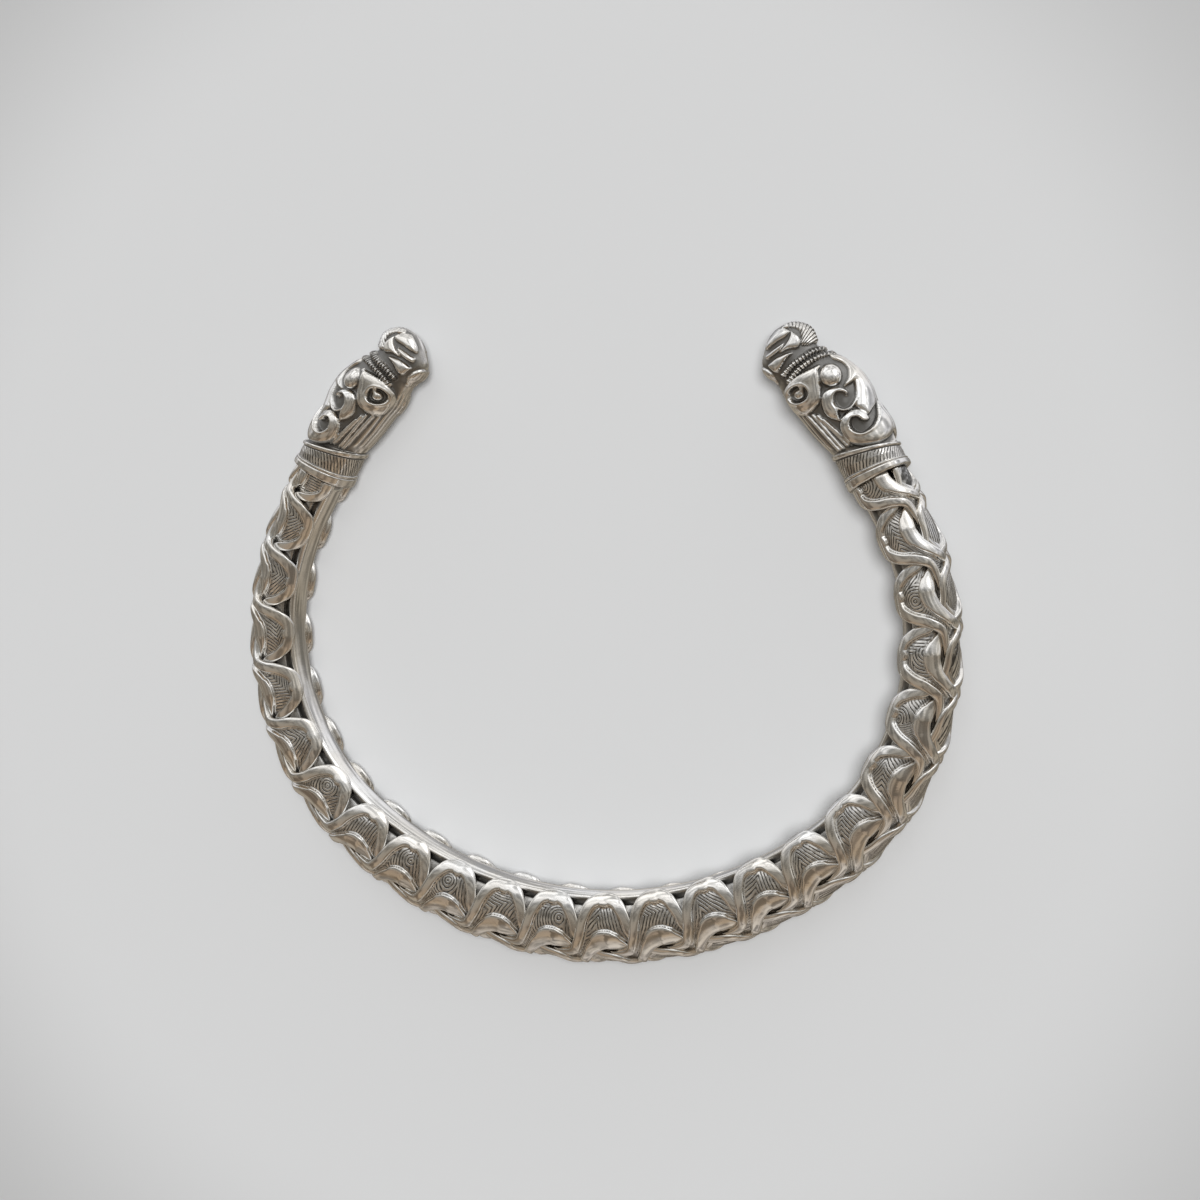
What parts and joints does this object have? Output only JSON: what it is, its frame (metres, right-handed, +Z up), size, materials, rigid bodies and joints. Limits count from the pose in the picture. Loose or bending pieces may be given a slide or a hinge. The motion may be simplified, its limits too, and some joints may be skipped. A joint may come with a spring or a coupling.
{
  "type": "arm ring",
  "caption": "Open plaited silver arm ring with a collared beast head at each end, made to be pushed onto the wrist or forearm through the gap.",
  "frame": {"origin": "middle of the lowest side of the ring's box, as it lies flat on a surface", "axes": "+Z up through the ring's hole, +Y from the middle of the band to the gap between the heads, +X to the right arm"},
  "size_m": [0.079, 0.0658, 0.0068],
  "materials": {
    "silver": "polished silver, darkened in its recesses"
  },
  "bodies": {
    "root": {"band": "silver", "head_left": "silver", "head_right": "silver"}
  },
  "joints": []
}
